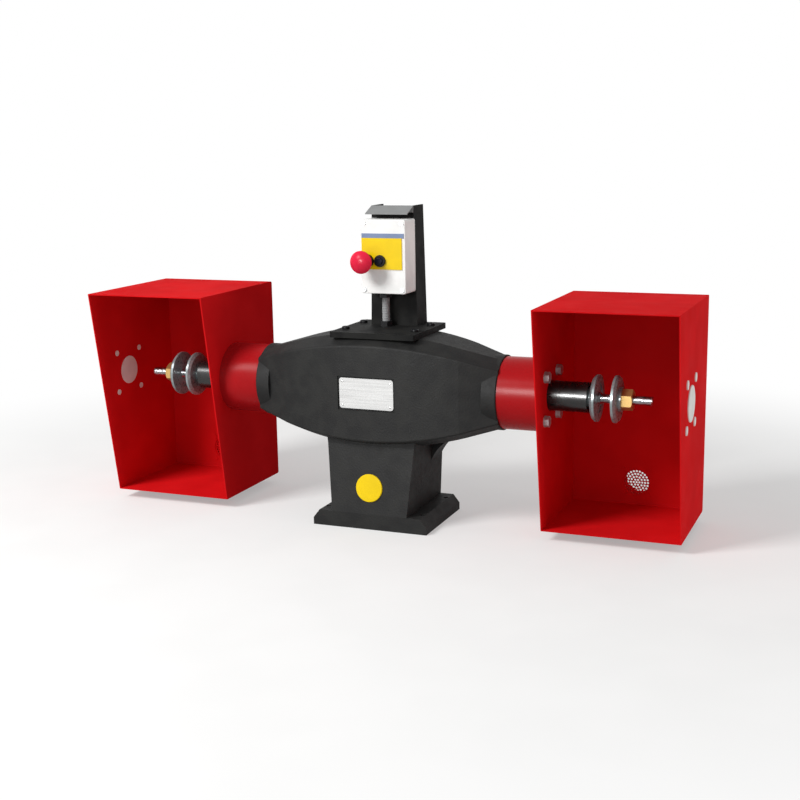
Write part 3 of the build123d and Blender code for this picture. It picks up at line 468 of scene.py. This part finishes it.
def finish(piece, name, material, body):
    """Puts the place of the selected piece into its mesh, smooths it and hangs it on its body."""
    bpy.ops.object.transform_apply(location=True, rotation=True, scale=True)
    bpy.ops.object.shade_smooth_by_angle(angle=crease_angle)
    piece.name = name
    piece.data.name = name
    piece.data.materials.clear()
    piece.data.materials.append(material)
    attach(piece, body)


def drawn_profile(points):
    """One vertex drawn along a profile of places, as a chain of edges."""
    piece = fresh(bpy.ops.mesh.primitive_plane_add, size=mm)
    bpy.ops.mesh.merge(type="CENTER")
    bpy.ops.transform.translate(value=points[0])
    for before, after in zip(points, points[1:]):
        step = Vector(after) - Vector(before)
        bpy.ops.mesh.extrude_vertices_move(TRANSFORM_OT_translate={"value": step})
    bpy.ops.mesh.select_all(action="SELECT")
    return piece


def turn_profile(points, centre, axis, steps):
    """A closed piece turned from a profile of places."""
    piece = drawn_profile(points)
    bpy.ops.mesh.spin(steps=steps, angle=2 * math.pi, center=centre, axis=axis)
    bpy.ops.mesh.select_all(action="SELECT")
    bpy.ops.mesh.remove_doubles(threshold=weld_distance)
    bpy.ops.mesh.normals_make_consistent(inside=False)
    bpy.ops.object.mode_set(mode="OBJECT")
    return piece


def join_into(piece, others):
    """Joins other pieces into one, which is then the only one selected."""
    bpy.ops.object.select_all(action="DESELECT")
    for each in others:
        each.select_set(True)
    piece.select_set(True)
    bpy.context.view_layer.objects.active = piece
    bpy.ops.object.join()


def colours_of(context):
    return context.scene.machine_colours


class POLISHER_OT_castings(Operator):
    """Satin black paint of the motor and the pedestal, gloss black of the nose tubes"""

    bl_idname = "polisher.castings"
    bl_label = "Paint the castings"

    def execute(self, context):
        colours = colours_of(context)
        dress(satin_casting_paint("satin black paint on cast housing", colours), "motor_housing", "end_bell")
        dress(satin_casting_paint("satin black paint on cast iron", colours), "pedestal")
        dress(gloss_tube_enamel(colours), "nose_tube")
        return {"FINISHED"}


class POLISHER_OT_hoods(Operator):
    """Red coats of the hoods, the suction outlets and the collars, with their plugs and bolts"""

    bl_idname = "polisher.hoods"
    bl_label = "Paint the hoods"

    def execute(self, context):
        colours = colours_of(context)
        thin, thick = colours.hood_red, colours.hood_deep_red
        red = stoved_red_coat("satin red coat on sheet steel", thin, thick, (0.5, 0.58), refraction=1.03)
        dress(red, "hood_wrap", "hood_inner_cheek", "hood_outer_cheek")
        dress(red, "suction_grille", "suction_spigot", "suction_rivets")
        # The collars get the hood's red darkened as painted shade, standing in for the shade between the
        # hoods and the motor
        thin, thick = colours.collar_red_with_painted_shade, colours.collar_deep_red_with_painted_shade
        red = stoved_red_coat("gloss red enamel on steel tube with painted shade", thin, thick, (0.24, 0.32), refraction=1.16)
        dress(red, "collar")
        white = moulded_plastic("moulded white polyethylene", colours.plug_white, (0.4, 0.55), spark=2 * mm)
        dress(white, "spindle_hole_plug", "bolt_hole_plugs")
        dress(plated_metal("chromated zinc on steel", colours.zinc_steel, metallic=0.6), "hood_bolts")
        return {"FINISHED"}


class POLISHER_OT_running_gear(Operator):
    """Metals of the flanges, nuts, bearings and motor"""

    bl_idname = "polisher.running_gear"
    bl_label = "Finish the running gear"

    def execute(self, context):
        colours = colours_of(context)
        grey = turned_metal("turned phosphated steel", colours.burnished_steel, (0.24, 0.34), metallic=0.3)
        dress(grey, "inner_flange", "outer_flange")
        dress(plated_metal("drawn brass", colours.brass, metallic=0.75), "wheel_nut")
        bright = turned_metal("ground bearing steel", colours.ground_steel, (0.16, 0.26))
        dress(bright, "spindle_shaft", "bearing_inner_rings", "bearing_outer_rings", "bearing_balls")
        dress(stacked_laminations(colours), "stator_core", "rotor_core")
        dress(varnished_winding(colours), "stator_windings")
        dress(plated_metal("cast aluminium", colours.cast_silver), "cooling_fan", "run_capacitor")
        dress(plated_metal("zinc-plated strap", colours.zinc_steel), "capacitor_clamps")
        return {"FINISHED"}


class POLISHER_OT_controls(Operator):
    """Finishes of the control box, its bracket, the plates and the conduit"""

    bl_idname = "polisher.controls"
    bl_label = "Finish the controls"

    def execute(self, context):
        colours = colours_of(context)
        black, worn = colours.sheet_black, colours.casting_worn
        dress(satin_sheet_paint("satin black paint on sheet steel", black, worn), "bracket", "top_plate")
        # The visor's grey is a painted sheen, standing in for the light reflected off its top
        grey, darker = colours.visor_grey_painted_sheen, shaded(colours.visor_grey_painted_sheen, 0.93)
        dress(satin_sheet_paint("satin sheet paint with painted grey sheen", grey, darker), "bracket_visor")
        dress(plated_metal("zinc-plated screws", colours.zinc_steel), "bracket_screws", "lid_screws")
        black = moulded_plastic("blackened screws", colours.plastic_black, (0.3, 0.4), spark=1 * mm)
        dress(black, "plate_screws")
        white = moulded_plastic("moulded white ABS", colours.box_white, (0.42, 0.54), spark=1.5 * mm)
        dress(white, "control_box_body", "control_box_lid")
        yellow = moulded_plastic("yellow enamelled plastic", colours.plate_yellow, (0.4, 0.5), spark=2 * mm)
        dress(yellow, "yellow_plate", "pedestal_cap")
        blue = moulded_plastic("blue-grey PVC strip", colours.strip_grey, (0.4, 0.5), spark=2 * mm)
        dress(blue, "grey_strip")
        red = moulded_plastic("gloss red ABS", colours.stop_red, (0.22, 0.32), spark=3 * mm)
        dress(red, "estop_head")
        navy = moulded_plastic("navy ABS", colours.button_navy, (0.25, 0.36), spark=2 * mm)
        dress(navy, "start_button")
        dark = moulded_plastic("moulded black nylon", colours.plastic_black, (0.4, 0.55), spark=1.5 * mm)
        dress(dark, "estop_bezel", "estop_plunger", "start_bezel", "contact_blocks", "conduit_glands")
        grey = moulded_plastic("grey PVC conduit", colours.conduit_grey, (0.42, 0.55), spark=2 * mm)
        dress(grey, "control_conduit")
        dress(brushed_plate(colours), "badge_plate")
        return {"FINISHED"}


class POLISHER_OT_arbor_ends(Operator):
    """Turned arbor ends with a cut thread"""

    bl_idname = "polisher.arbor_ends"
    bl_label = "Turn the arbor ends"

    def execute(self, context):
        sizes = context.scene.machine_sizes
        start = sizes.thread_start
        pitch = sizes.thread_pitch
        shaft_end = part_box("spindle_shaft")[1].x
        spigot_start = shaft_end - sizes.spigot_depth
        outline = [
            (spigot_start, 0),
            (spigot_start, sizes.spigot_radius),
            (shaft_end, sizes.spigot_radius),
            (shaft_end, sizes.seat_radius),
            (start - sizes.seat_chamfer, sizes.seat_radius),
            (start, sizes.seat_radius - sizes.seat_chamfer),
            (start, 0),
        ]
        places = [(x, 0, axis_height + radius) for x, radius in outline]
        centre = (0, 0, axis_height)
        bar = turn_profile(places, centre, (1, 0, 0), sizes.turning_steps)
        thread = self.cut_thread(start - pitch, sizes)
        join_into(bar, [thread])
        bpy.ops.object.modifier_add(type="MIRROR")
        bar.modifiers["Mirror"].use_mirror_merge = False
        bpy.ops.object.modifier_apply(modifier="Mirror")
        steel = turned_metal("ground shaft steel", colours_of(context).ground_steel, (0.16, 0.28))
        finish(bar, "threaded_arbor_ends", steel, "spindle")
        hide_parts("spindle_ends")
        return {"FINISHED"}

    def cut_thread(self, start, sizes):
        """The threaded end as one helical face, cut flat at both ends and bevelled at the tip."""
        pitch = sizes.thread_pitch
        # One turn of the thread: shares of the pitch, and radii
        shape = [(0, sizes.thread_root), (0.4, sizes.thread_crest), (0.55, sizes.thread_crest)]
        shape += [(0.95, sizes.thread_root), (1.0, sizes.thread_root)]
        thread = drawn_profile([(share * pitch, 0, radius) for share, radius in shape])
        bpy.ops.object.mode_set(mode="OBJECT")
        bpy.ops.object.modifier_add(type="SCREW")
        turning = thread.modifiers["Screw"]
        turning.axis = "X"
        turning.screw_offset = pitch
        turning.iterations = math.ceil((shaft_tip - start) / pitch) + 2
        turning.steps = sizes.thread_steps
        turning.render_steps = sizes.thread_steps
        turning.use_merge_vertices = True
        bpy.ops.object.modifier_apply(modifier="Screw")
        thread.location = (start - pitch, 0, axis_height)
        bpy.ops.object.transform_apply(location=True, rotation=True, scale=True)
        bpy.ops.object.mode_set(mode="EDIT")
        bpy.ops.mesh.select_all(action="SELECT")
        bpy.ops.mesh.remove_doubles(threshold=thread_weld_distance)
        bevel = sizes.thread_bevel
        cuts = [(start, (-1, 0, 0)), (shaft_tip - bevel, (1, 0, 0))]
        for x, outward in cuts:
            bpy.ops.mesh.select_all(action="SELECT")
            bpy.ops.mesh.bisect(
                plane_co=(x, 0, axis_height),
                plane_no=outward,
                use_fill=True,
                clear_outer=True,
                threshold=cut_tolerance,
            )
        bpy.ops.mesh.extrude_region_move(TRANSFORM_OT_translate={"value": (bevel, 0, 0)})
        narrowed = (1, sizes.tip_share, sizes.tip_share)
        bpy.ops.transform.resize(value=narrowed, center_override=(shaft_tip, 0, axis_height))
        bpy.ops.mesh.select_all(action="SELECT")
        bpy.ops.mesh.normals_make_consistent(inside=False)
        bpy.ops.object.mode_set(mode="OBJECT")
        return thread


class POLISHER_OT_badge_rivets(Operator):
    """Domed rivets in the corners of the bare plate on the motor"""

    bl_idname = "polisher.badge_rivets"
    bl_label = "Set the badge rivets"

    def execute(self, context):
        sizes = context.scene.machine_sizes
        low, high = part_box("badge_plate")
        radius = sizes.rivet_radius
        # Dome and shank of a rivet: places outwards and upwards, in shares of its radius
        shape = [(0, 0.6), (0.55, 0.5), (0.88, 0.22), (1, 0), (1, -0.3), (0, -0.3)]
        rivets = []
        for x in (low.x + sizes.rivet_inset, high.x - sizes.rivet_inset):
            for z in (low.z + sizes.rivet_inset, high.z - sizes.rivet_inset):
                points = [(x + out * radius, low.y - rise * radius, z) for out, rise in shape]
                rivets.append(turn_profile(points, (x, low.y, z), (0, 1, 0), sizes.rivet_steps))
        join_into(rivets[0], rivets[1:])
        silver = plated_metal("aluminium rivets", colours_of(context).badge_silver)
        finish(rivets[0], "badge_rivets", silver, "frame")
        return {"FINISHED"}


class POLISHER_OT_bearing_seals(Operator):
    """Rubber seals in the outboard bearings"""

    bl_idname = "polisher.bearing_seals"
    bl_label = "Fit the bearing seals"

    def execute(self, context):
        sizes = context.scene.machine_sizes
        black = colours_of(context).plastic_black
        rubber = moulded_plastic("moulded seal rubber", black, (0.5, 0.62), spark=2 * mm)
        outer_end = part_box("right_nose_tube")[1].x - sizes.seal_setback
        depths = (sizes.seal_back, sizes.seal_edge, sizes.seal_face)
        back, edge, face = (outer_end - depth for depth in depths)
        bore, rim = sizes.seal_bore, sizes.seal_rim
        outline = [(back, bore), (edge, bore), (face, bore + sizes.seal_lip)]
        outline += [(face, rim - sizes.seal_bead), (edge, rim), (back, rim)]
        for side, label in ((1, "right"), (-1, "left")):
            points = [(side * x, 0, axis_height + radius) for x, radius in outline]
            centre = (0, 0, axis_height)
            seal = turn_profile(points + points[:1], centre, (1, 0, 0), sizes.turning_steps)
            finish(seal, f"{label}_bearing_seal", rubber, "frame")
        return {"FINISHED"}


class POLISHER_OT_stage(Operator):
    """Pale floor, soft light and the camera"""

    bl_idname = "polisher.stage"
    bl_label = "Set the stage"

    def execute(self, context):
        settings = context.scene.machine_stage
        self.lay_floor(settings)
        self.light_room(context, settings)
        key, side, aim = settings.key_size, settings.side_size, Vector(settings.aim)
        self.hang_light("key light", settings.key_place, key, key, settings.key_power, aim)
        self.hang_light("side light", settings.side_place, side, side, settings.side_power, aim)
        width, height = settings.card_width, settings.card_height
        card = self.hang_light("reflector card", settings.card_place, width, height, settings.card_power, aim)
        # The card shows in gloss and adds no light of its own
        card.visible_diffuse = False
        self.place_camera(context, settings)
        context.scene.view_settings.view_transform = "Standard"
        return {"FINISHED"}

    def lay_floor(self, settings):
        low = (0, 0, -settings.floor_drop)
        floor = fresh(bpy.ops.mesh.primitive_plane_add, size=settings.floor_size, location=low)
        bpy.ops.mesh.subdivide(number_cuts=settings.floor_cuts)
        bpy.ops.object.mode_set(mode="OBJECT")
        floor.name = "studio_floor"
        floor.data.materials.append(self.studio_paper(settings))

    def studio_paper(self, settings):
        # Seamless paper: matt white that fades into the background and keeps the shadow
        material = bpy.data.materials.new("white studio paper")
        material.use_nodes = True
        tree = material.node_tree
        tree.nodes.clear()
        place = node(tree, "ShaderNodeTexCoord").outputs["Object"]
        white = settings.floor_colour
        paper = mottled(tree, place, 200 * mm, white, shaded(white, 0.97))
        matt = node(tree, "ShaderNodeBsdfDiffuse", {"Color": paper})
        seen = self.seen_rays(tree)
        shown = {0: seen, 1: settings.floor_glow}
        glow = node(tree, "ShaderNodeMath", shown, operation="MULTIPLY").outputs[0]
        near_light = node(tree, "ShaderNodeEmission", {"Color": (1, 1, 1, 1), "Strength": glow})
        near = node(tree, "ShaderNodeAddShader", {0: matt.outputs[0], 1: near_light.outputs[0]})
        far = node(tree, "ShaderNodeEmission", {"Color": (1, 1, 1, 1), "Strength": 1.0})
        distance = node(tree, "ShaderNodeVectorMath", {0: place}, operation="LENGTH").outputs["Value"]
        reach = {"Value": distance, "From Min": settings.fade_start, "From Max": settings.fade_end}
        fade = node(tree, "ShaderNodeMapRange", reach, interpolation_type="SMOOTHSTEP").outputs[0]
        share = node(tree, "ShaderNodeMath", {0: seen, 1: fade}, operation="MULTIPLY").outputs[0]
        both = node(tree, "ShaderNodeMixShader", {0: share, 1: near.outputs[0], 2: far.outputs[0]})
        node(tree, "ShaderNodeOutputMaterial", {"Surface": both.outputs[0]})
        return material

    def seen_rays(self, tree):
        """1 for rays that show the stage, also in gloss or glass, 0 for rays that light the machine."""
        path = node(tree, "ShaderNodeLightPath")
        sharp = node(
            tree,
            "ShaderNodeMath",
            {0: path.outputs["Is Camera Ray"], 1: path.outputs["Is Glossy Ray"]},
            operation="MAXIMUM",
        )
        passed = {0: sharp.outputs[0], 1: path.outputs["Is Transmission Ray"]}
        return node(tree, "ShaderNodeMath", passed, operation="MAXIMUM").outputs[0]

    def light_room(self, context, settings):
        world = bpy.data.worlds.new("white room")
        context.scene.world = world
        world.use_nodes = True
        tree = world.node_tree
        tree.nodes.clear()
        seen = self.seen_rays(tree)
        limits = {"Value": seen, "To Min": settings.sky_strength, "To Max": 1.0}
        strength = node(tree, "ShaderNodeMapRange", limits).outputs[0]
        sky = node(tree, "ShaderNodeBackground", {"Color": (1, 1, 1, 1), "Strength": strength})
        node(tree, "ShaderNodeOutputWorld", {"Surface": sky.outputs[0]})

    def hang_light(self, name, place, width, height, power, aim):
        bpy.ops.object.select_all(action="DESELECT")
        bpy.ops.object.light_add(type="AREA", location=place)
        lamp = bpy.context.object
        lamp.name = name
        lamp.data.shape = "RECTANGLE"
        lamp.data.size = width
        lamp.data.size_y = height
        lamp.data.energy = power
        lamp.rotation_euler = (aim - Vector(place)).to_track_quat("-Z", "Y").to_euler()
        return lamp

    def place_camera(self, context, settings):
        camera = bpy.data.cameras.new("photo camera")
        camera.lens = settings.lens
        camera.sensor_width = settings.sensor
        view = bpy.data.objects.new("photo camera", camera)
        context.scene.collection.objects.link(view)
        swing, rise, roll = settings.azimuth, settings.elevation, settings.roll
        back = Vector((math.sin(swing) * math.cos(rise), -math.cos(swing) * math.cos(rise), math.sin(rise)))
        right = Vector((0, 0, 1)).cross(back).normalized()
        up = back.cross(right)
        tilted_right = math.cos(roll) * right + math.sin(roll) * up
        tilted_up = math.cos(roll) * up - math.sin(roll) * right
        turned = Matrix((tilted_right, tilted_up, back)).transposed().to_4x4()
        view.matrix_world = Matrix.Translation(settings.camera_place) @ turned
        context.scene.camera = view


class POLISHER_PT_pieces(Panel):
    """Lists the steps that dress the machine"""

    bl_idname = "POLISHER_PT_pieces"
    bl_label = "Polishing machine"
    bl_space_type = "VIEW_3D"
    bl_region_type = "UI"
    bl_category = "Polisher"

    def draw(self, context):
        for step in steps:
            self.layout.operator(step.bl_idname)


steps = (
    POLISHER_OT_castings,
    POLISHER_OT_hoods,
    POLISHER_OT_running_gear,
    POLISHER_OT_controls,
    POLISHER_OT_arbor_ends,
    POLISHER_OT_badge_rivets,
    POLISHER_OT_bearing_seals,
    POLISHER_OT_stage,
)
groups = {"machine_colours": MachineColours, "machine_sizes": MachineSizes, "machine_stage": StageSettings}


def register():
    for group in groups.values():
        bpy.utils.register_class(group)
    for each in steps + (POLISHER_PT_pieces,):
        bpy.utils.register_class(each)
    for name, group in groups.items():
        setattr(bpy.types.Scene, name, PointerProperty(type=group))


def unregister():
    for name in groups:
        delattr(bpy.types.Scene, name)
    for each in (POLISHER_PT_pieces,) + steps:
        bpy.utils.unregister_class(each)
    for group in groups.values():
        bpy.utils.unregister_class(group)


def main():
    register()
    for step in steps:
        family, action = step.bl_idname.split(".")
        getattr(getattr(bpy.ops, family), action)()


if __name__ == "__main__":
    main()
